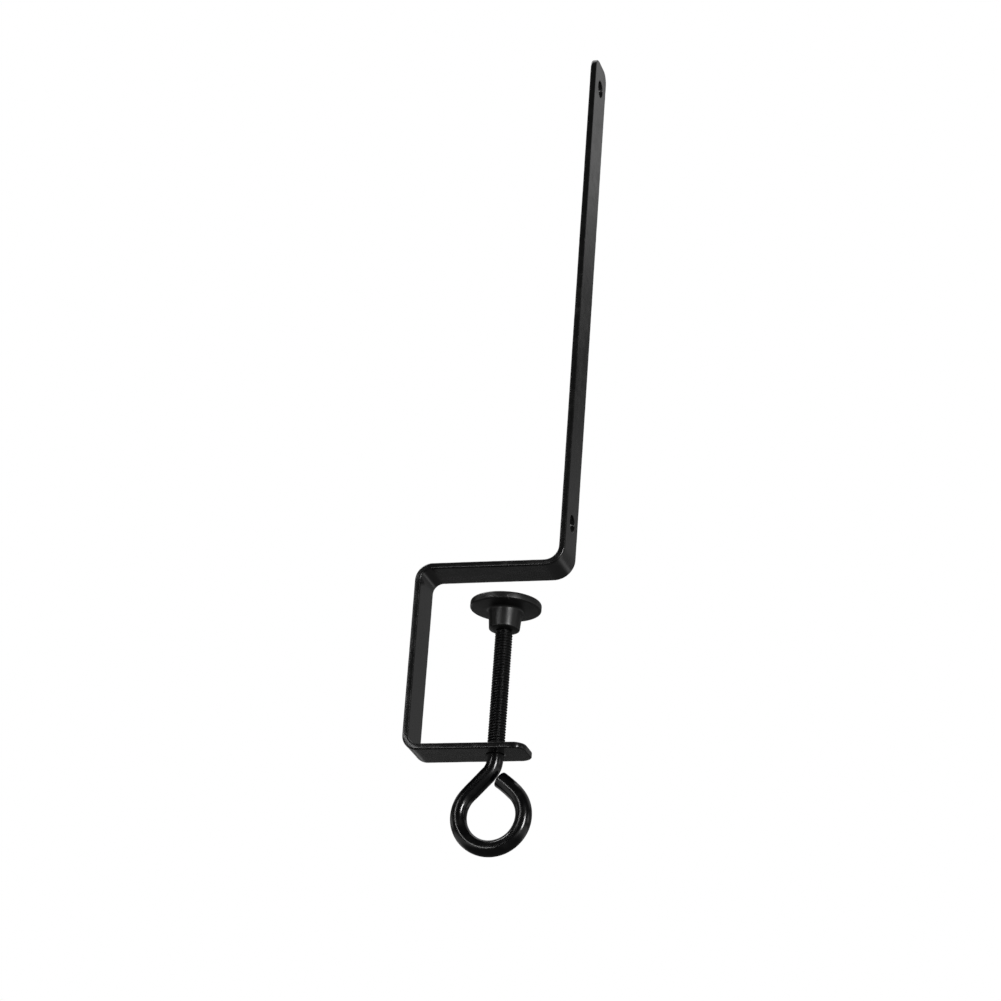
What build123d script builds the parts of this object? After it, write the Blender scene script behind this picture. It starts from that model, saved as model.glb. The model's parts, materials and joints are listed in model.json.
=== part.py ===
from build123d import *
import math
import os

os.makedirs("parts", exist_ok=True)

# Screw clamp that holds one end of a table tennis net. Millimetres.
#
# Frame: the origin is where the clamp screw's axis meets the underside of the top plate, the face that
# rests on the table top. +Z runs up the net post, +X from the web towards the open side of the jaw, and
# +Y across the width of the flat bar.

# ---- flat bar that the bracket is bent from ----
bar_width = 12.5
bar_thickness = 1.8
bar_edge_radius = 0.4

# ---- bracket, measured on its faces ----
web_reach = 23.5  # screw axis to the web's inner face
post_reach = 15.8  # screw axis to the post's jaw-side face
jaw_height = 51.2  # top plate's underside to the lower bar's upper face
post_height = 160.5  # top plate's underside to the post's tip
lower_bar_reach = 9.5  # screw axis to the lower bar's free end
post_bend_inside = 4.0
web_top_bend_inside = 3.0
web_foot_bend_inside = 2.5
tip_corner_radius = 3.6
lower_end_corner_radius = 3.6

# ---- net cord holes through the post ----
cord_hole_radius = 2.5
cord_hole_heights = (14.5, 152.5)

# ---- clamp screw: a coarse thread rolled on a wire that ends in an open eye ----
thread_pitch = 0.8
thread_turns = 45
thread_crest_radius = 2.45
thread_root_radius = 2.05
crest_flat_share = 0.25  # part of a pitch that is flat at the crest
root_flat_share = 0.15  # part of a pitch that is flat at the root
wire_radius = 2.35
screw_hole_clearance = 0.05
screw_hole_chamfer = 0.35
core_overlap = 0.4  # how far the neck and the wire run on inside the thread's core, to join it

# ---- clamp screw: neck bend and eye, on the wire's centre line ----
neck_corner_z = -56.9  # where the shank's axis meets the slanted run
neck_bend_radius = 6.0
neck_angle = 42.7
eye_radius = 9.2
eye_crown_radius = 38.0
eye_crown_turn = 8.0
eye_end_heading = 144.0  # direction of the wire at its cut end, from +X
eye_end_run = 0.8
wire_end_chamfer = 0.3

# ---- pressure pad, and the ball on the screw that it swivels on ----
pad_top_z = -8.6
pad_radius = 10.0
pad_rim_height = 2.1
pad_dish_depth = 0.25  # how much thicker the disc is at the boss than at its rim
pad_rim_round = 0.5
boss_top_radius = 4.8
boss_foot_radius = 4.3
boss_foot_z = -16.6
boss_foot_round = 0.5
boss_root_fillet = 0.8
lip_radius = 3.0
lip_height = 0.4
ball_z = -12.6
ball_radius = 2.5
ball_clearance = 0.08
ball_neck_radius = 1.7
mouth_clearance = 0.3
shoulder_gap = 0.15  # from the pad's lip down to the screw's shoulder


# ---- bracket: one flat bar, bent three times ----
half_bar = bar_thickness / 2
post_x = post_reach + half_bar
web_x = -web_reach - half_bar
lower_bar_z = -jaw_height - half_bar
bend_insides = (post_bend_inside, web_top_bend_inside, web_foot_bend_inside)

with BuildPart() as bracket:
    with BuildLine(Plane.XZ) as bar_line:
        FilletPolyline(
            (post_x, post_height),
            (post_x, half_bar),
            (web_x, half_bar),
            (web_x, lower_bar_z),
            (lower_bar_reach, lower_bar_z),
            radius=[inside + half_bar for inside in bend_insides],
        )
    with BuildSketch(Plane(origin=bar_line.line @ 0, x_dir=(0, 1, 0), z_dir=bar_line.line % 0)):
        Rectangle(bar_width, bar_thickness)
    sweep()

    # the two free ends have rounded corners
    post_tip = bracket.faces().sort_by(Axis.Z)[-1]
    fillet(post_tip.edges().filter_by(Axis.X), tip_corner_radius)
    lower_bar_faces = bracket.faces().filter_by_position(Axis.Z, lower_bar_z - half_bar, lower_bar_z + half_bar)
    lower_end = lower_bar_faces.filter_by(Axis.X).sort_by(Axis.X)[-1]
    fillet(lower_end.edges().filter_by(Axis.Z), lower_end_corner_radius)

    # sheared edges, rounded all along both sides of the bar
    side_faces = bracket.faces().filter_by(Axis.Y)
    fillet(side_faces.edges(), bar_edge_radius)

    # net cord holes through the post
    for height in cord_hole_heights:
        with Locations(Plane(origin=(post_reach + bar_thickness, 0, height), z_dir=(1, 0, 0))):
            Hole(cord_hole_radius, depth=bar_thickness)

    # screw hole through the lower bar, eased at both faces
    with Locations((0, 0, -jaw_height)):
        Hole(thread_crest_radius + screw_hole_clearance, depth=bar_thickness)
    hole_rims = bracket.edges().filter_by(GeomType.CIRCLE).filter_by(
        lambda edge: math.isclose(edge.radius, thread_crest_radius + screw_hole_clearance)
    )
    chamfer(hole_rims, screw_hole_chamfer)

# ---- pressure pad: a disc on a boss, with a round socket that is crimped under the screw's ball ----
pad_rim_foot_z = pad_top_z - pad_rim_height
disc_foot_z = pad_rim_foot_z - pad_dish_depth
lip_z = boss_foot_z - lip_height
mouth_radius = ball_neck_radius + mouth_clearance

with BuildPart() as pressure_pad:
    with BuildSketch(Plane.XZ) as pad_half:
        with BuildLine():
            Polyline(
                (0, pad_top_z),
                (pad_radius, pad_top_z),
                (pad_radius, pad_rim_foot_z),
                (boss_top_radius, disc_foot_z),
                (boss_foot_radius, boss_foot_z),
                (lip_radius, lip_z),
                (0, lip_z),
                close=True,
            )
        make_face()
        rim_corners = pad_half.vertices().sort_by(Axis.X)[-2:]
        fillet(rim_corners, pad_rim_round)
        boss_corners = pad_half.vertices().filter_by_position(
            Axis.X, boss_foot_radius - 0.01, boss_top_radius + 0.01
        ).sort_by(Axis.Z)
        fillet(boss_corners[0], boss_foot_round)
        fillet(boss_corners[-1], boss_root_fillet)
    revolve(axis=Axis.Z)
    with Locations((0, 0, ball_z)):
        Sphere(ball_radius + ball_clearance, mode=Mode.SUBTRACT)
    with Locations((0, 0, lip_z)):
        Cylinder(
            mouth_radius,
            ball_z - lip_z,
            align=(Align.CENTER, Align.CENTER, Align.MIN),
            mode=Mode.SUBTRACT,
        )

# ---- clamp screw: ball, neck, thread, bent neck and eye in one piece ----
shoulder_z = lip_z - shoulder_gap
thread_end_z = shoulder_z - thread_turns * thread_pitch
crest_half = crest_flat_share * thread_pitch / 2
root_half = root_flat_share * thread_pitch / 2
thread_points = []
for turn in range(thread_turns):
    crest_z = shoulder_z - (turn + 0.5) * thread_pitch
    thread_points.append((thread_root_radius, crest_z + thread_pitch / 2 - root_half))
    thread_points.append((thread_crest_radius, crest_z + crest_half))
    thread_points.append((thread_crest_radius, crest_z - crest_half))
    thread_points.append((thread_root_radius, crest_z - thread_pitch / 2 + root_half))

neck_tangent = neck_bend_radius * math.tan(math.radians(neck_angle / 2))
neck_start_z = neck_corner_z + neck_tangent
# the slanted run stops where it touches the eye, whose centre is on the screw's axis
slope_run = eye_radius / math.tan(math.radians(neck_angle)) - neck_tangent
slope_heading = 270.0 - neck_angle
eye_turn = 360.0 + eye_end_heading - eye_crown_turn - slope_heading

with BuildPart() as clamp_screw:
    with BuildSketch(Plane.XZ) as thread_half:
        with BuildLine():
            Polyline(
                (0, shoulder_z),
                *thread_points,
                (thread_root_radius, thread_end_z - core_overlap),
                (0, thread_end_z - core_overlap),
                close=True,
            )
        make_face()
    revolve(axis=Axis.Z)

    with Locations((0, 0, shoulder_z - core_overlap)):
        Cylinder(
            ball_neck_radius,
            ball_z - shoulder_z + core_overlap,
            align=(Align.CENTER, Align.CENTER, Align.MIN),
        )
    with Locations((0, 0, ball_z)):
        Sphere(ball_radius)

    with BuildLine(Plane.XZ) as wire_line:
        shank = Line((0, thread_end_z), (0, neck_start_z))
        neck = JernArc(shank @ 1, shank % 1, neck_bend_radius, -neck_angle)
        slope = Line(neck @ 1, neck @ 1 + (neck % 1) * slope_run)
        eye = JernArc(slope @ 1, slope % 1, eye_radius, eye_turn)
        crown = JernArc(eye @ 1, eye % 1, eye_crown_radius, eye_crown_turn)
        Line(crown @ 1, crown @ 1 + (crown % 1) * eye_end_run)
    with BuildSketch(Plane(origin=(0, 0, thread_end_z), z_dir=(0, 0, -1))):
        Circle(wire_radius)
    sweep(path=wire_line.wires()[0])
    wire_end = clamp_screw.faces().sort_by_distance(wire_line.line @ 1)[0]
    chamfer(wire_end.edges(), wire_end_chamfer)

# ---- one file for each piece ----
for name, piece in (
    ("bracket", bracket),
    ("pressure_pad", pressure_pad),
    ("clamp_screw", clamp_screw),
):
    piece.part.label = name
    export_step(piece.part, f"parts/{name}.step")
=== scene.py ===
import json
import math
from typing import NamedTuple

import bpy
import numpy as np
from mathutils import Matrix, Vector, noise


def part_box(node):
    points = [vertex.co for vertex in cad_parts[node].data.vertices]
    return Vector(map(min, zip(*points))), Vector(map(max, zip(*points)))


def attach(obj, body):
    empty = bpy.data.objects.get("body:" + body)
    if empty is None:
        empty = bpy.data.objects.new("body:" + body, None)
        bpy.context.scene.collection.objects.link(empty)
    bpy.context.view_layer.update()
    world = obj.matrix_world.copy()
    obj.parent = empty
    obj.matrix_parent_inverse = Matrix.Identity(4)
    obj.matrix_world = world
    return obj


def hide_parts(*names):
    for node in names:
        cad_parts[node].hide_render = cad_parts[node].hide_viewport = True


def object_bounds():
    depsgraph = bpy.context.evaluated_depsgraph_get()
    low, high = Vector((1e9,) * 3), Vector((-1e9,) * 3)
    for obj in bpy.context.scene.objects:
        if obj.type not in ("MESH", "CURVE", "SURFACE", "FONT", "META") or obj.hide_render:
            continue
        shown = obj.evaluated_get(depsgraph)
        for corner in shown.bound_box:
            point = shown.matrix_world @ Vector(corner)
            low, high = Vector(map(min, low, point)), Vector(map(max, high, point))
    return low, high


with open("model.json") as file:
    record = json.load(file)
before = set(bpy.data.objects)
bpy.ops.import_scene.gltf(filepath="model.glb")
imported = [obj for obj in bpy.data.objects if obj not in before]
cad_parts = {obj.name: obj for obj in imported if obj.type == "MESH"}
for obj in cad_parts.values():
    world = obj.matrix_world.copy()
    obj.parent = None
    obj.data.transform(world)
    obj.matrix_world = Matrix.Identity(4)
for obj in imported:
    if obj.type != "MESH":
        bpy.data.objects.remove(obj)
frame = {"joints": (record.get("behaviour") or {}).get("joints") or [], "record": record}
cad_low, cad_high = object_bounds()

# The clamp is built in millimetres, in the frame's own axes, and scaled to metres as each mesh is made.
MM = 0.001
ROUNDING = 1e-6  # slack where two lengths that should be equal are compared

# ---- sizes read from the frame ----
mounts = {mount["name"]: mount for mount in frame["record"]["mounts"]}


def box_mm(node):
    low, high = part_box(node)
    return low / MM, high / MM


bracket_low, bracket_high = box_mm("bracket")
screw_high = box_mm("clamp_screw")[1]
pad_low, pad_high = box_mm("pressure_pad")

bar_width = bracket_high.y - bracket_low.y
bar_thickness = mounts["upper_cord_hole"]["dims"]["length_mm"]
cord_hole_radius = mounts["upper_cord_hole"]["dims"]["r_mm"]
cord_hole_heights = [mounts[name]["pos_m"][2] / MM for name in ("upper_cord_hole", "lower_cord_hole")]
half_bar = bar_thickness / 2
post_x = bracket_high.x - half_bar
web_x = bracket_low.x + half_bar
lower_bar_z = bracket_low.z + half_bar
ball_top = screw_high.z

# ---- bracket details ----
post_bend_inside = 4.0
web_top_bend_inside = 3.0
web_foot_bend_inside = 2.5
lower_bar_reach = 9.5  # screw axis to the lower bar's free end
tip_corner = 3.6
lower_end_corner = 3.6
bar_edge = 0.4
cord_hole_edge = 0.2
screw_hole_radius = 2.5
screw_hole_edge = 0.35
bend_swell = 0.022  # share by which the inside of a bend widens and its outside narrows
bend_curl = 0.05  # how far a bend's sides curl away from its middle
curl_balance = 0.4  # square of the share across the bar at which a curled bend stays level
bend_fade = 2.0  # length on each side of a bend's end over which the swell and the curl fade
bar_inset = 0.03  # keeps the waves and the curl inside the frame's bracket
bar_bow = 0.03  # depth of the rolled bar's slow waves
face_wave_size = 17.0
side_wave_size = 25.0
edge_nicks = 0.04  # roughness of the sheared edges, across the bar
side_nick_size = 1.7
face_nick_share = 0.6  # of that roughness, square to the bar's faces
face_nick_size = 1.3

# ---- screw details ----
wire_radius = 2.35
thread_pitch = 0.8
thread_crest = 2.45
thread_root = 2.07
thread_squareness = 1.9  # the higher, the flatter the thread's crests and roots
thread_fade = 1.3  # length over which the thread runs out into the wire
ball_radius = 2.5
ball_neck = 1.7
thread_start_radius = ball_neck + 0.5  # rim of the shoulder, where the thread is cut to a taper
thread_start_slope = 0.9  # how fast the taper widens below the shoulder
ball_z = ball_top - ball_radius
ball_foot_z = ball_z - math.sqrt(ball_radius**2 - ball_neck**2)
shoulder_z = -17.15
thread_end_z = -53.15
neck_corner_z = -56.9  # where the shank's axis meets the slanted run
neck_bend_radius = 6.0
neck_angle = 42.7
eye_radius = 9.2
crown_radius = 38.0
crown_turn = 8.0
end_heading = 144.0  # direction of the wire at its cut end, from +X
end_run = 0.8
wire_end_edge = 0.35
cut_middle_rise = 0.05  # how far the cut end bulges, half way in from its rim
cut_centre_rise = 0.06
wire_dents = 0.03
wire_dent_size = 6.0
dent_ring = 3.0  # radius of the ring round the wire on which its dents are read
wire_flattening = 0.05  # how much the bending of the eye flattens its inside and its outside

# ---- pad details ----
pad_radius = pad_high.x - 0.02  # leaves room for the pad's dents in the frame's pad
pad_rim_height = 2.1
pad_dish = 0.25
rim_round = 0.5
boss_top = 4.8
boss_foot = 4.3
boss_foot_z = -16.6
boss_foot_round = 0.5
boss_root_round = 0.8
lip_radius = 3.0
lip_round = 0.25
mouth_radius = 2.0
mouth_round = 0.15
socket_radius = 2.58
pad_dents = 0.04
pad_dent_size = 5.0
pad_dent_rise = 0.5  # share of a dent that goes along the axis too

# ---- how worn the paint is, from 0 to 1 ----
face_edge_wear = 0.6
side_middle_wear = 0.25
side_edge_wear = 1.0
hole_rim_wear = 0.7
hole_wall_wear = 0.8
thread_crest_wear = 0.75
wire_wear = 0.15
wire_end_wear = 0.9
pad_rim_wear = 0.9
boss_foot_wear = 0.6


# ---- lines of straight runs and arcs in the plane y = 0 ----
def left_of(heading):
    return np.array([-math.sin(heading), math.cos(heading)])


class Stretch(NamedTuple):
    """A straight run or an arc: its start along the route, and its place and its shape in the plane."""

    start: float
    length: float
    point: np.ndarray
    heading: float
    radius: float
    turn: float

    @property
    def end(self):
        return self.start + self.length

    def walk(self, run):
        """The point and the heading at a distance from the start."""
        if not self.turn:
            ahead = np.array([math.cos(self.heading), math.sin(self.heading)])
            return self.point + run * ahead, self.heading
        heading = self.heading + self.turn * run / self.length
        side = math.copysign(1, self.turn)
        centre = self.point + side * self.radius * left_of(self.heading)
        return centre - side * self.radius * left_of(heading), heading


class Route:
    """A line of moves: a number is a straight run, and a pair is an arc's radius and its turn in degrees.

    The first and the last move are straight, and the line can be read a little past them.
    """

    def __init__(self, start, heading, moves):
        self.stretches = []
        self.length = 0.0
        point, heading = np.array(start, float), math.radians(heading)
        for move in moves:
            radius, degrees = move if isinstance(move, tuple) else (0.0, 0.0)
            turn = math.radians(degrees)
            length = radius * abs(turn) if turn else move
            stretch = Stretch(self.length, length, point, heading, radius, turn)
            self.stretches.append(stretch)
            self.length += length
            point, heading = stretch.walk(length)

    def at(self, distance):
        """(x, z, heading, signed curvature) at a distance along the line."""
        found = self.stretches[0]
        for stretch in self.stretches[1:]:
            if distance >= stretch.start:
                found = stretch
        (x, z), heading = found.walk(distance - found.start)
        curvature = math.copysign(1 / found.radius, found.turn) if found.turn else 0.0
        return x, z, heading, curvature


# ---- small helpers ----
def steps(low, high, size):
    """Even steps of about that size from low to high, without high."""
    count = max(1, math.ceil((high - low) / size - ROUNDING))
    return [low + (high - low) * k / count for k in range(count)]


def smooth(share):
    share = np.clip(share, 0, 1)
    return share * share * (3 - 2 * share)


def ripple(x, y, z, size, seed):
    """Smooth noise from -1 to 1 with features of that size."""
    return noise.noise(Vector((x / size + seed, y / size - seed, z / size + 2 * seed)))


def round_trip(first, last, low, high):
    """The spots on the sides of a rectangle in a grid, in order round it."""
    spots = [(i, low) for i in range(first, last)] + [(last, j) for j in range(low, high)]
    return spots + [(i, high) for i in range(last, first, -1)] + [(first, j) for j in range(high, low, -1)]


def make_mesh(name, points, faces, **shares):
    """A smooth mesh; each of the shares is a list with one number per point, stored under its name."""
    mesh = bpy.data.meshes.new(name)
    mesh.from_pydata([Vector(p) * MM for p in points], [], faces)
    mesh.validate()
    mesh.shade_smooth()
    for key, values in shares.items():
        attribute = mesh.attributes.new(key, "FLOAT", "POINT")
        attribute.data.foreach_set("value", np.array(values, np.float32))
    piece = bpy.data.objects.new(name, mesh)
    bpy.context.scene.collection.objects.link(piece)
    return piece


# ---- bracket: a flat bar laid out straight, then bent along its route ----
def edge_rows(height, radius, count):
    """(inset, level) down a wall with rounded edges, from the upper face to the lower one."""
    rows = []
    for k in range(count + 1):
        angle = math.pi / 2 * k / count
        rows.append((radius * (1 - math.sin(angle)), height - radius * (1 - math.cos(angle))))
    return rows + [(0.0, 0.0)] + [(inset, -level) for inset, level in reversed(rows)]


class Hole(NamedTuple):
    """A round hole on the bar's middle line: its place along the bar, its radius and its rims' rounding."""

    place: float
    radius: float
    edge: float


class Station(NamedTuple):
    """A row of points across the bar. At a rounded end, push and squeeze lead the row round the corners."""

    middle: float
    push: float = 0.0
    corner: float = 0.0
    squeeze: float = 1.0


class Bar:
    """The straight bar: a grid of stations along it and rows across, with rounded ends and round holes."""

    row_count = 24
    hole_rows = (4, 20)  # rows that a hole's patch lies between
    hole_rings = 6
    edge_count = 5
    hole_edge_count = 4
    corner_steps = 10
    station_step = 0.9
    bend_step = 0.35
    hole_step = 0.5

    def __init__(self, route, holes):
        self.route = route
        self.points, self.wear, self.faces = [], [], []
        self.rows = np.linspace(-1, 1, self.row_count + 1)
        self.reach = (bar_width / 2 - bar_edge) * self.rows[self.hole_rows[1]]
        self.make_stations(holes)
        self.spans = [self.span(hole) for hole in holes]
        self.face_points = [self.make_face(side) for side in (1, -1)]
        self.make_outer_wall()
        for hole, span in zip(holes, self.spans):
            self.make_hole(hole, span)

    def make_stations(self, holes):
        """The stations are closer together in the bends and at the holes."""
        first, last = tip_corner, self.route.length - lower_end_corner
        marks = {first, last}
        for stretch in self.route.stretches:
            marks.update((stretch.start, stretch.end))
        for hole in holes:
            marks.update((hole.place - self.reach, hole.place + self.reach))
        marks = sorted(mark for mark in marks if first <= mark <= last)
        turns = [math.pi / 2 * k / self.corner_steps for k in range(self.corner_steps + 1)]
        self.stations = [
            Station(first, -math.sin(turn), tip_corner, math.cos(turn)) for turn in reversed(turns[1:])
        ]
        bends = [stretch for stretch in self.route.stretches if stretch.turn]
        for low, high in zip(marks, marks[1:]):
            middle = (low + high) / 2
            size = self.station_step
            if any(bend.start <= middle <= bend.end for bend in bends):
                size = self.bend_step
            if any(abs(middle - hole.place) < self.reach for hole in holes):
                size = self.hole_step
            self.stations += [Station(s) for s in steps(low, high, size)]
        self.stations += [Station(last, math.sin(turn), lower_end_corner, math.cos(turn)) for turn in turns]

    def span(self, hole):
        """The first and the last station of a hole's patch."""
        inside = [
            i for i, station in enumerate(self.stations)
            if abs(station.middle - hole.place) <= self.reach + ROUNDING and not station.push
        ]
        return inside[0], inside[-1]

    def spot(self, i, j, inset):
        """(distance along, distance across) of a grid point on the outline that is inset by so much."""
        station = self.stations[i]
        across = bar_width / 2 - station.corner + (station.corner - inset) * station.squeeze
        return station.middle + station.push * (station.corner - inset), self.rows[j] * across

    def add(self, s, y, level, wear=0.0):
        self.points.append((s, y, level))
        self.wear.append(wear)
        return len(self.points) - 1

    def quad(self, a, b, c, d, side=1):
        self.faces.append((a, b, c, d) if side > 0 else (d, c, b, a))

    def bridge(self, rings, side=1):
        for upper, lower in zip(rings, rings[1:]):
            for k in range(len(upper)):
                ahead = (k + 1) % len(upper)
                self.quad(upper[k], lower[k], lower[ahead], upper[ahead], side)

    def make_face(self, side):
        """The grid on one face of the bar, with an empty patch round each hole."""
        low_row, high_row = self.hole_rows
        last = len(self.stations) - 1
        grid = {}
        for i in range(last + 1):
            for j in range(self.row_count + 1):
                if any(a < i < b and low_row < j < high_row for a, b in self.spans):
                    continue
                s, y = self.spot(i, j, bar_edge)
                at_edge = j in (0, self.row_count) or i in (0, last)
                grid[i, j] = self.add(s, y, side * half_bar, face_edge_wear if at_edge else 0.0)
        for i in range(last):
            for j in range(self.row_count):
                if any(a <= i < b and low_row <= j < high_row for a, b in self.spans):
                    continue
                self.quad(grid[i, j], grid[i + 1, j], grid[i + 1, j + 1], grid[i, j + 1], side)
        return grid

    def make_outer_wall(self):
        loop = round_trip(0, len(self.stations) - 1, 0, self.row_count)
        rings = [[self.face_points[0][spot] for spot in loop]]
        for inset, level in edge_rows(half_bar, bar_edge, self.edge_count)[1:-1]:
            wear = side_middle_wear + (side_edge_wear - side_middle_wear) * (abs(level) / half_bar) ** 2
            rings.append([self.add(*self.spot(i, j, inset), level, wear) for i, j in loop])
        rings.append([self.face_points[1][spot] for spot in loop])
        self.bridge(rings)

    def make_hole(self, hole, span):
        """Rings from the square rim of each face's patch to the hole's round rim, and the hole's wall."""
        loop = round_trip(*span, *self.hole_rows)
        first_corner = math.radians(225)
        angles = [first_corner + math.tau * k / len(loop) for k in range(len(loop))]
        rims = []
        for side, grid in zip((1, -1), self.face_points):
            outer = [grid[spot] for spot in loop]
            rings = [outer]
            for ring in range(1, self.hole_rings + 1):
                share = ring / self.hole_rings
                wear = hole_rim_wear if ring == self.hole_rings else 0.0
                made = []
                for point, angle in zip(outer, angles):
                    s, y, level = self.points[point]
                    round_s = hole.place + (hole.radius + hole.edge) * math.cos(angle)
                    round_y = (hole.radius + hole.edge) * math.sin(angle)
                    made.append(self.add(s + (round_s - s) * share, y + (round_y - y) * share, level, wear))
                rings.append(made)
            self.bridge(rings, -side)
            rims.append(rings[-1])
        walls = [rims[0]]
        for inset, level in edge_rows(half_bar, hole.edge, self.hole_edge_count)[1:-1]:
            radius = hole.radius + inset
            walls.append([
                self.add(hole.place + radius * math.cos(a), radius * math.sin(a), level, hole_wall_wear)
                for a in angles
            ])
        self.bridge(walls + [rims[1]], -1)

    def bent(self):
        """The points on the bent bar, with each bend's swell and curl, the waves and the rough edges."""
        made = []
        for (s, y, level), wear in zip(self.points, self.wear):
            x, z, heading, _ = self.route.at(s)
            bend = self.bend_near(s)
            across = y / (bar_width / 2)
            y *= 1 + bend_swell * bend * level / half_bar
            level *= 1 - bar_inset / half_bar
            level -= bend_curl * bend * (across * across - curl_balance)
            level += bar_bow * ripple(s, y, 0.0, face_wave_size, seed=3.1)
            y += bar_bow * (ripple(s, 0.0, 0.0, side_wave_size, seed=8.7) - across)
            rough = edge_nicks * wear
            y += rough * ripple(s, y, level, side_nick_size, seed=5.3)
            level += face_nick_share * rough * ripple(s, y, level, face_nick_size, seed=1.9)
            made.append((x - math.sin(heading) * level, y, z + math.cos(heading) * level))
        return made

    def bend_near(self, s):
        """The bend's direction, 1 or -1, fading to 0 over a little of the bar on each side of its ends."""
        total = 0.0
        for stretch in self.route.stretches:
            if stretch.turn:
                after_start = smooth((s - stretch.start + bend_fade) / (2 * bend_fade))
                before_end = smooth((stretch.end + bend_fade - s) / (2 * bend_fade))
                total += math.copysign(after_start * before_end, stretch.turn)
        return total


def make_bracket():
    post_bend, top_bend, foot_bend = (
        inside + half_bar for inside in (post_bend_inside, web_top_bend_inside, web_foot_bend_inside)
    )
    route = Route(
        (post_x, bracket_high.z), -90,
        [
            bracket_high.z - half_bar - post_bend,
            (post_bend, -90),
            post_x - web_x - post_bend - top_bend,
            (top_bend, 90),
            half_bar - lower_bar_z - top_bend - foot_bend,
            (foot_bend, 90),
            lower_bar_reach - web_x - foot_bend,
        ],
    )
    holes = [Hole(bracket_high.z - height, cord_hole_radius, cord_hole_edge) for height in cord_hole_heights]
    holes.append(Hole(route.length - lower_bar_reach, screw_hole_radius, screw_hole_edge))
    bar = Bar(route, holes)
    return make_mesh("bent_bar", bar.bent(), bar.faces, wear=bar.wear)


# ---- screw: one wire with a ball, a rolled thread and an eye ----
screw_columns = 72
ball_ring_angles = range(6, 130, 6)  # degrees from the ball's top
wire_end_rings = 4
bend_ring_step = 0.4
straight_ring_step = 0.8
thread_ring_step = thread_pitch / 10
shoulder_slope = 1e-3  # half the width of the shoulder's face along the wire
shoulder_gap = 0.05  # from the shoulder to the thread's first ring


def thread_wave(phase):
    """A rolled thread's rounded crest and root, from -1 to 1."""
    return math.tanh(thread_squareness * math.cos(math.tau * phase)) / math.tanh(thread_squareness)


def screw_radius(z, angle):
    """Radius of the straight part of the screw at a height and an angle about its axis."""
    if z > ball_foot_z:
        return math.sqrt(max(ball_radius**2 - (z - ball_z) ** 2, 0))
    if z > shoulder_z:
        return ball_neck
    middle = (thread_crest + thread_root) / 2
    depth = (thread_crest - thread_root) / 2
    fade = float(smooth((z - thread_end_z) / thread_fade))
    threaded = middle + depth * fade * thread_wave(z / thread_pitch - angle / math.tau)
    taper = thread_start_radius + (shoulder_z - z) * thread_start_slope
    return min(wire_radius + (threaded - wire_radius) * fade, taper)


def make_screw():
    tangent = neck_bend_radius * math.tan(math.radians(neck_angle / 2))
    straight = ball_top - (neck_corner_z + tangent)
    slope_run = eye_radius / math.tan(math.radians(neck_angle)) - tangent
    eye_turn = 90 + neck_angle + end_heading - crown_turn  # from the slope's direction round to the crown's
    route = Route(
        (0, ball_top), -90,
        [
            straight,
            (neck_bend_radius, -neck_angle),
            slope_run,
            (eye_radius, eye_turn),
            (crown_radius, crown_turn),
            end_run,
        ],
    )
    shoulder = ball_top - shoulder_z
    thread_end = ball_top - thread_end_z
    stops = [ball_radius * (1 - math.cos(math.radians(angle))) for angle in ball_ring_angles]
    stops += steps(ball_top - ball_foot_z, shoulder - shoulder_slope, bend_ring_step)
    stops += [shoulder - shoulder_slope, shoulder + shoulder_slope]
    stops += steps(shoulder + shoulder_gap, thread_end, thread_ring_step)
    for stretch in route.stretches:
        low = max(stretch.start, thread_end)
        if stretch.end > low:
            stops += steps(low, stretch.end, bend_ring_step if stretch.turn else straight_ring_step)
    end_edge = route.length - wire_end_edge
    angles = [math.tau * k / screw_columns for k in range(screw_columns)]
    points, wear, faces = [], [], []

    def ring(s, shrink=0.0):
        x, z, heading, bend = route.at(s)
        row = []
        for angle in angles:
            if s < straight:
                radius = screw_radius(ball_top - s, angle)
                scuff = float(smooth((radius - thread_root) / (thread_crest - thread_root)))
                scuff *= thread_crest_wear if shoulder_z > z > thread_end_z else 0.0
            else:
                spot = s, dent_ring * math.cos(angle), dent_ring * math.sin(angle)
                radius, scuff = wire_radius, wire_wear
                radius += wire_dents * ripple(*spot, wire_dent_size, seed=4.4)
                radius -= wire_flattening * abs(bend) * eye_radius * math.cos(angle) ** 2
            radius -= shrink
            out, across = radius * math.cos(angle), radius * math.sin(angle)
            row.append(len(points))
            points.append((x - math.sin(heading) * out, across, z + math.cos(heading) * out))
            wear.append(max(scuff, wire_end_wear if shrink else 0.0))
        return row

    def tip(s):
        x, z, _, _ = route.at(s)
        points.append((x, 0.0, z))
        wear.append(0.0)
        return len(points) - 1

    rings = [ring(s) for s in stops if s < end_edge]
    for k in range(wire_end_rings):
        turn = math.radians(90 * k / (wire_end_rings - 1))
        run = route.length - wire_end_edge * (1 - math.sin(turn))
        rings.append(ring(run, wire_end_edge * (1 - math.cos(turn))))
    rings.append(ring(route.length + cut_middle_rise, wire_radius * 0.5))
    start, end = tip(0.0), tip(route.length + cut_centre_rise)
    columns = [(k, (k + 1) % screw_columns) for k in range(screw_columns)]
    for upper, lower in zip(rings, rings[1:]):
        faces += [(upper[k], lower[k], lower[ahead], upper[ahead]) for k, ahead in columns]
    for k, ahead in columns:
        faces.append((start, rings[0][k], rings[0][ahead]))
        faces.append((end, rings[-1][ahead], rings[-1][k]))
    dull = [float(smooth((z - thread_end_z) / thread_fade)) for _, _, z in points]
    return make_mesh("eye_screw", points, faces, wear=wear, dull=dull)


# ---- pad: a turned disc and boss with a round socket ----
pad_columns = 120
pad_ring_step = 0.6
round_step = 0.12
round_least_steps = 3
socket_rings = 20
first_ring_radius = 0.3  # round the middle of the pad's face
rim_wear_from = 1.2  # how far inside the rim its wear begins
rim_wear_to = 0.2  # how far inside the rim its wear is full
foot_wear_height = 0.6


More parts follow.
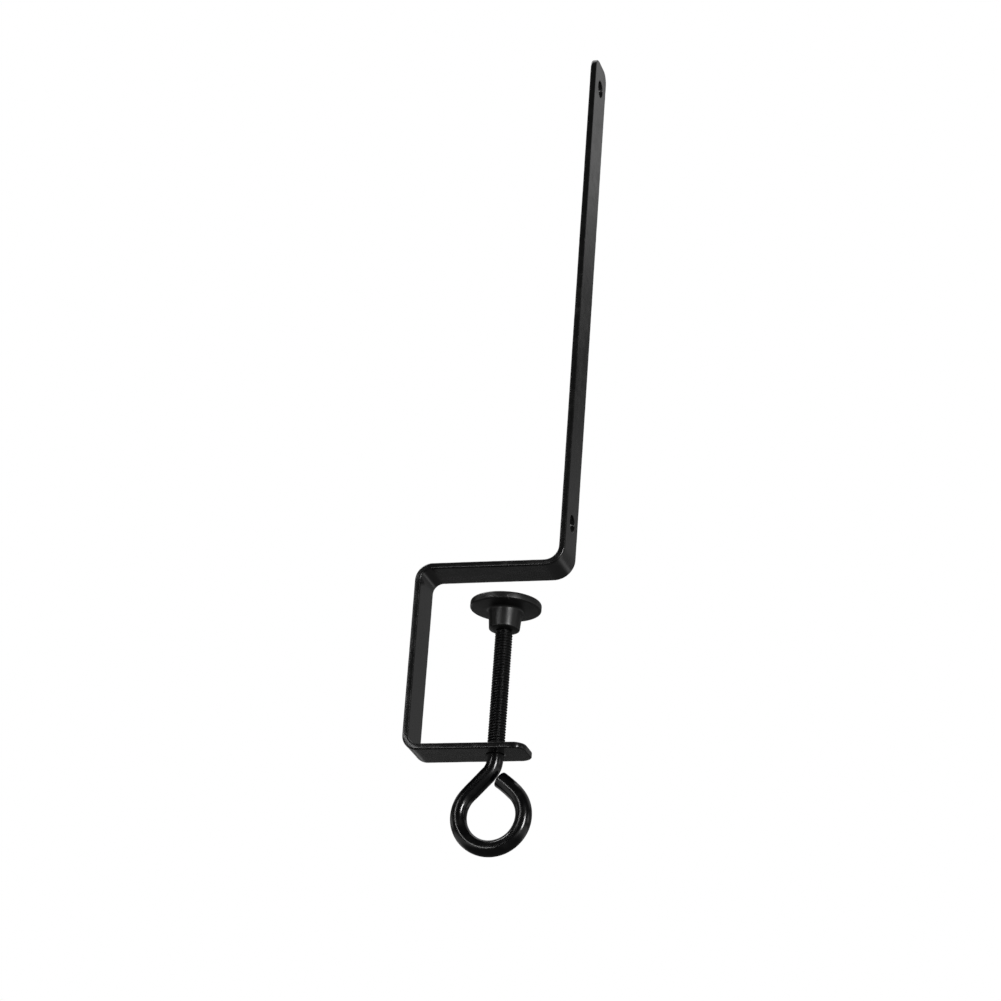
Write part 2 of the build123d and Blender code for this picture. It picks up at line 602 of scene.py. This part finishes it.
def rounded(corners, rounds):
    """The open outline with each of its inner corners rounded."""
    outline = [Vector(corners[0])]
    for before, corner, after, radius in zip(corners, corners[1:], corners[2:], rounds):
        corner = Vector(corner)
        back, ahead = (Vector(before) - corner).normalized(), (Vector(after) - corner).normalized()
        half = back.angle(ahead) / 2
        middle = corner + (back + ahead).normalized() * radius / math.sin(half)
        first = corner + back * radius / math.tan(half) - middle
        turn = math.pi - 2 * half
        side = math.copysign(1, -(back.x * ahead.y - back.y * ahead.x))
        count = max(round_least_steps, math.ceil(turn * radius / round_step))
        for k in range(count + 1):
            outline.append(middle + Matrix.Rotation(side * turn * k / count, 2) @ first)
    outline.append(Vector(corners[-1]))
    return outline


def fill_in(outline, size):
    """The outline with points added along it, so that none are further apart than size."""
    made = []
    for a, b in zip(outline, outline[1:]):
        made += [a + (b - a) * share for share in steps(0.0, 1.0, size / max((b - a).length, ROUNDING))]
    return made + [outline[-1]]


def make_pad():
    rim_foot = pad_high.z - pad_rim_height
    outline = rounded(
        [
            (first_ring_radius, pad_high.z),
            (pad_radius, pad_high.z),
            (pad_radius, rim_foot),
            (boss_top, rim_foot - pad_dish),
            (boss_foot, boss_foot_z),
            (lip_radius, pad_low.z),
            (mouth_radius, pad_low.z),
            (mouth_radius, ball_z - math.sqrt(socket_radius**2 - mouth_radius**2)),
        ],
        [rim_round, rim_round, boss_root_round, boss_foot_round, lip_round, mouth_round],
    )
    outline = fill_in(outline, pad_ring_step)
    mouth_angle = math.degrees(math.asin(mouth_radius / socket_radius))
    for k in range(1, socket_rings):
        angle = math.radians(mouth_angle + (180 - mouth_angle) * k / socket_rings)
        outline.append(Vector((socket_radius * math.sin(angle), ball_z - socket_radius * math.cos(angle))))
    points, wear, faces = [], [], []
    for radius, z in outline:
        rim = smooth((radius - pad_radius + rim_wear_from) / (rim_wear_from - rim_wear_to)) * pad_rim_wear
        foot = smooth((boss_foot_z + foot_wear_height - z) / foot_wear_height) * boss_foot_wear
        for k in range(pad_columns):
            angle = math.tau * k / pad_columns
            x, y = math.cos(angle), math.sin(angle)
            dent = pad_dents * ripple(radius * x, radius * y, z, pad_dent_size, seed=2.2)
            points.append(((radius + dent) * x, (radius + dent) * y, z + pad_dent_rise * dent))
            wear.append(max(rim, foot))
    points += [(0.0, 0.0, pad_high.z), (0.0, 0.0, ball_z + socket_radius)]
    wear += [0.0, 0.0]
    face_middle, socket_middle = len(points) - 2, len(points) - 1
    last = (len(outline) - 1) * pad_columns
    columns = [(k, (k + 1) % pad_columns) for k in range(pad_columns)]
    for upper in range(0, last, pad_columns):
        lower = upper + pad_columns
        faces += [(upper + k, lower + k, lower + ahead, upper + ahead) for k, ahead in columns]
    for k, ahead in columns:
        faces.append((face_middle, k, ahead))
        faces.append((socket_middle, last + ahead, last + k))
    return make_mesh("swivel_pad", points, faces, wear=wear)


# ---- nodes ----
class Graph:
    """A node tree, with a short way to add each kind of node that paint, the floor and the world need."""

    def __init__(self, tree):
        self.tree = tree

    def add(self, kind, **settings):
        node = self.tree.nodes.new(kind)
        for key, value in settings.items():
            setattr(node, key, value)
        return node

    def link(self, source, target):
        """Lead one socket into another, or set the other to a plain number or colour."""
        if isinstance(source, (int, float, tuple)):
            target.default_value = source
        else:
            self.tree.links.new(source, target)

    def coordinates(self, kind):
        return self.add("ShaderNodeTexCoord").outputs[kind]

    def split(self, vector):
        """The vector's outputs by axis: X, Y and Z."""
        node = self.add("ShaderNodeSeparateXYZ")
        self.link(vector, node.inputs[0])
        return node.outputs

    def distance(self, vector):
        node = self.add("ShaderNodeVectorMath", operation="LENGTH")
        self.link(vector, node.inputs[0])
        return node.outputs["Value"]

    def math(self, operation, a, b=0.0):
        node = self.add("ShaderNodeMath", operation=operation)
        self.link(a, node.inputs[0])
        self.link(b, node.inputs[1])
        return node.outputs[0]

    def ramp(self, value, low, high, at_low=0.0, at_high=1.0):
        """A smooth step from one number to another, as the value goes from low to high."""
        node = self.add("ShaderNodeMapRange", interpolation_type="SMOOTHSTEP")
        self.link(value, node.inputs["Value"])
        self.link(low, node.inputs["From Min"])
        self.link(high, node.inputs["From Max"])
        self.link(at_low, node.inputs["To Min"])
        self.link(at_high, node.inputs["To Max"])
        return node.outputs["Result"]

    def seen_or_not(self, seen, around, surface):
        """One shader where the camera sees it, and the other for the clamp's light and reflections."""
        mix = self.add("ShaderNodeMixShader")
        self.link(self.add("ShaderNodeLightPath").outputs["Is Camera Ray"], mix.inputs["Fac"])
        self.link(around.outputs[0], mix.inputs[1])
        self.link(seen.outputs[0], mix.inputs[2])
        self.link(mix.outputs[0], surface)


class Paint(Graph):
    """The nodes of a new material."""

    def __init__(self, name):
        self.material = bpy.data.materials.new(name)
        self.material.use_nodes = True
        super().__init__(self.material.node_tree)
        self.shader = self.tree.nodes["Principled BSDF"]
        self.where = self.coordinates("Object")

    def noise(self, size_mm, detail, rough=0.55):
        node = self.add("ShaderNodeTexNoise")
        self.link(self.where, node.inputs["Vector"])
        self.link(1 / (size_mm * MM), node.inputs["Scale"])
        self.link(detail, node.inputs["Detail"])
        self.link(rough, node.inputs["Roughness"])
        return node.outputs["Fac"]

    def dots(self, spacing_mm, radius_share):
        """1 in the middle of scattered round dots, falling to 0 at their edge."""
        node = self.add("ShaderNodeTexVoronoi")
        self.link(self.where, node.inputs["Vector"])
        self.link(1 / (spacing_mm * MM), node.inputs["Scale"])
        return self.ramp(node.outputs["Distance"], 0.0, radius_share, 1.0, 0.0)

    def mix(self, factor, a, b):
        """From colour a to colour b. The Mix node's sockets for colours are 6, 7 and 2."""
        node = self.add("ShaderNodeMix", data_type="RGBA")
        self.link(factor, node.inputs["Factor"])
        self.link(a, node.inputs[6])
        self.link(b, node.inputs[7])
        return node.outputs[2]

    def attribute(self, name):
        return self.add("ShaderNodeAttribute", attribute_name=name).outputs["Fac"]

    def bump(self, height, depth_mm, normal=None):
        node = self.add("ShaderNodeBump")
        self.link(1.0, node.inputs["Strength"])
        self.link(depth_mm * MM, node.inputs["Distance"])
        self.link(height, node.inputs["Height"])
        if normal is not None:
            self.link(normal, node.inputs["Normal"])
        return node.outputs["Normal"]


# ---- materials: gloss black paint on steel ----
bare_steel = (0.16, 0.155, 0.15, 1)
paint_ior = 1.5
patch_size_mm = 14.0
smear_size_mm = 3.2
grit_size_mm = 0.55
knock_size_mm = 2.6
pit_spacing_mm = 2.3
pit_radius_share = 0.09
chip_depth_mm = 0.02
peel_share = 0.2  # depth of the orange peel, as a share of the slow waves' depth


def black_paint(name, coat, dust, gloss, peel_mm, waves_mm, chips):
    """Gloss black paint on steel.

    coat and dust are colours, gloss is the smoothest roughness, peel_mm the size of the paint's orange peel,
    waves_mm the depth of its slow waves, and chips how much bare steel shows on worn edges. Where the mesh
    is dull, the paint is thin and oiled dark, as on a thread.
    """
    paint = Paint(name)
    patches = paint.ramp(paint.noise(patch_size_mm, detail=4.0), 0.35, 0.7)
    smears = paint.ramp(paint.noise(smear_size_mm, detail=5.0, rough=0.65), 0.42, 0.72)
    colour = paint.mix(paint.math("MULTIPLY", patches, smears), coat, dust)

    grit = paint.noise(grit_size_mm, detail=4.0, rough=0.7)
    knocks = paint.ramp(paint.noise(knock_size_mm, detail=3.0), 0.5, 0.72)
    broken = paint.math("MULTIPLY", paint.attribute("wear"), knocks)
    chip = paint.ramp(paint.math("MULTIPLY", broken, grit), 0.42 - chips, 0.5 - chips)
    paint.link(paint.mix(chip, colour, bare_steel), paint.shader.inputs["Base Color"])
    dull = paint.attribute("dull")
    metal = paint.math("MAXIMUM", paint.math("MULTIPLY", chip, 0.8), paint.math("MULTIPLY", dull, 0.5))
    paint.link(metal, paint.shader.inputs["Metallic"])

    rough = gloss
    for share, added in ((smears, 0.07), (patches, 0.05), (dull, 0.2), (chip, 0.15)):
        rough = paint.math("ADD", rough, paint.math("MULTIPLY", share, added))
    paint.link(rough, paint.shader.inputs["Roughness"])
    paint.link(paint_ior, paint.shader.inputs["IOR"])

    normal = paint.bump(paint.noise(peel_mm * 4, detail=2.0), waves_mm)
    normal = paint.bump(paint.noise(peel_mm, detail=2.0), waves_mm * peel_share, normal)
    pits = paint.math("MULTIPLY", paint.dots(pit_spacing_mm, pit_radius_share), -1.0)
    normal = paint.bump(pits, waves_mm, normal)
    normal = paint.bump(paint.math("MULTIPLY", chip, -1.0), chip_depth_mm, normal)
    paint.link(normal, paint.shader.inputs["Normal"])
    return paint.material


def dress(piece, node, body, slot, **look):
    piece.data.materials.append(black_paint(slot, **look))
    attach(piece, body)
    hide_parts(node)


dress(
    make_bracket(), node="bracket", body="bracket", slot="bracket_paint",
    coat=(0.004, 0.004, 0.004, 1), dust=(0.014, 0.014, 0.0135, 1),
    gloss=0.19, peel_mm=1.0, waves_mm=0.02, chips=0.015,
)
dress(
    make_screw(), node="clamp_screw", body="screw", slot="screw_paint",
    coat=(0.0015, 0.0015, 0.0018, 1), dust=(0.005, 0.005, 0.005, 1),
    gloss=0.15, peel_mm=1.6, waves_mm=0.004, chips=0.02,
)
dress(
    make_pad(), node="pressure_pad", body="pad", slot="pad_paint",
    coat=(0.004, 0.004, 0.004, 1), dust=(0.010, 0.010, 0.0095, 1),
    gloss=0.36, peel_mm=0.9, waves_mm=0.02, chips=0.02,
)


# ---- camera: below the clamp, looking up at it; in metres from here on ----
camera_azimuth = math.radians(17.0)
camera_elevation = math.radians(-23.4)
camera_distance = 0.969
camera_about = Vector((-0.0062, 0.0, 0.050))
camera_roll = math.radians(4.2)
camera_lens = 122.0


def direction(azimuth, elevation):
    """The way from the clamp at two angles in radians. Azimuth 0 is the front, -Y, and it grows to +X."""
    return Vector((
        math.sin(azimuth) * math.cos(elevation),
        -math.cos(azimuth) * math.cos(elevation),
        math.sin(elevation),
    ))


lowest_eye = cad_low.z + min(joint["range_m"][0] for joint in frame["joints"] if joint["type"] == "slide")
aim = Vector(((cad_low.x + cad_high.x) / 2, 0, (lowest_eye + cad_high.z) / 2))
camera = bpy.data.objects.new("camera", bpy.data.cameras.new("camera"))
bpy.context.scene.collection.objects.link(camera)
camera.data.lens = camera_lens
camera.location = camera_about + direction(camera_azimuth, camera_elevation) * camera_distance
look = (aim - camera.location).to_track_quat("-Z", "Y").to_matrix()
camera.rotation_euler = (look @ Matrix.Rotation(camera_roll, 3, "Z")).to_euler()
bpy.context.scene.camera = camera


# ---- floor, world and lights: pale to the camera, and dim around the black paint ----
white = (1, 1, 1, 1)
floor_z = -0.42
floor_radius = 8.0
floor_columns = 96
floor_shade = 0.82  # strength that the camera sees in the middle of the floor
floor_pale_span = (1.0, floor_radius)  # distance over which that goes up to 1
floor_glow = 0.075  # strength for light and reflections, under the clamp
floor_side_glow = 0.6
floor_side_span = (0.4, 1.0)  # distance to either side over which the one becomes the other
floor_far_share = 0.1  # what is left of both glows far away
floor_far_span = (3.0, 5.0)

# The world's spans are of the parts of a direction of length 1: across, to the back and up.
world_glow = 0.04
world_back_span = (-0.2, 0.7)
world_back_low_glow = 0.13
world_back_low_end = (0.37, 0.41)
world_back_high_glow = 0.42
world_back_high_start = (0.43, 0.46)
world_side_glow = 0.9
world_side_span = (0.93, 0.99)
world_horizon = (0.0, 0.06)
lit_place = Vector((0, 0, 0.04))


def make_floor():
    """A pale disc for the camera. For light and reflections dim, but lighter out to each side."""
    points = [(0, 0, floor_z)]
    for k in range(floor_columns):
        angle = math.tau * k / floor_columns
        points.append((floor_radius * math.cos(angle), floor_radius * math.sin(angle), floor_z))
    faces = [(0, 1 + k, 1 + (k + 1) % floor_columns) for k in range(floor_columns)]
    floor = make_mesh("floor", [Vector(p) / MM for p in points], faces)
    material = bpy.data.materials.new("floor_paper")
    material.use_nodes = True
    graph = Graph(material.node_tree)
    graph.tree.nodes.remove(graph.tree.nodes["Principled BSDF"])
    where = graph.coordinates("Object")
    distance = graph.distance(where)
    seen = graph.add("ShaderNodeEmission")
    graph.link(graph.ramp(distance, *floor_pale_span, floor_shade, 1.0), seen.inputs["Strength"])
    sideways = graph.math("ABSOLUTE", graph.split(where)["X"])
    glow = graph.ramp(sideways, *floor_side_span, floor_glow, floor_side_glow)
    fading = graph.ramp(distance, *floor_far_span, 1.0, floor_far_share)
    around = graph.add("ShaderNodeEmission")
    graph.link(graph.math("MULTIPLY", glow, fading), around.inputs["Strength"])
    graph.seen_or_not(seen, around, graph.tree.nodes["Material Output"].inputs["Surface"])
    floor.data.materials.append(material)


def make_world():
    """White for the camera. For light and reflections dim, but lighter behind and level at each side."""
    world = bpy.data.worlds.new("studio")
    bpy.context.scene.world = world
    world.use_nodes = True
    graph = Graph(world.node_tree)
    way = graph.split(graph.coordinates("Generated"))
    high = graph.ramp(way["Z"], *world_back_high_start, 0.0, world_back_high_glow)
    low = graph.ramp(way["Z"], *world_back_low_end, world_back_low_glow, 0.0)
    back = graph.ramp(way["Y"], *world_back_span)
    behind = graph.math("MULTIPLY", back, graph.math("ADD", high, low))
    sideways = graph.ramp(graph.math("ABSOLUTE", way["X"]), *world_side_span, 0.0, world_side_glow)
    beside = graph.math("MULTIPLY", sideways, graph.ramp(way["Z"], *world_horizon))
    strength = graph.math("ADD", graph.math("ADD", behind, world_glow), beside)
    around = graph.tree.nodes["Background"]
    graph.link(white, around.inputs["Color"])
    graph.link(strength, around.inputs["Strength"])
    seen = graph.add("ShaderNodeBackground")
    graph.link(white, seen.inputs["Color"])
    graph.seen_or_not(seen, around, graph.tree.nodes["World Output"].inputs["Surface"])


def softbox(name, azimuth, elevation, distance, width, height, watts, tilt=0):
    """A rectangular light that faces the clamp. The clamp sees it at those angles, in degrees."""
    away = direction(math.radians(azimuth), math.radians(elevation))
    data = bpy.data.lights.new(name, "AREA")
    data.shape = "RECTANGLE"
    data.size, data.size_y = width, height
    data.energy = watts
    light = bpy.data.objects.new(name, data)
    bpy.context.scene.collection.objects.link(light)
    light.location = lit_place + away * distance
    turned = away.to_track_quat("Z", "Y").to_matrix() @ Matrix.Rotation(math.radians(tilt), 3, "Z")
    light.rotation_euler = turned.to_euler()


make_floor()
make_world()
softbox("key_right", 42, -1, distance=1.6, width=0.28, height=0.50, watts=15)
softbox("strip_left", -27, 5, distance=1.8, width=0.14, height=1.5, watts=6, tilt=41)
softbox("overhead", 180, 78, distance=2.0, width=1.6, height=1.2, watts=8)
softbox("upper_left", -85, 52, distance=2.0, width=0.8, height=0.8, watts=25)
softbox("rim", 197, 18, distance=2.2, width=0.5, height=0.8, watts=1.5)
bpy.context.scene.view_settings.view_transform = "Standard"
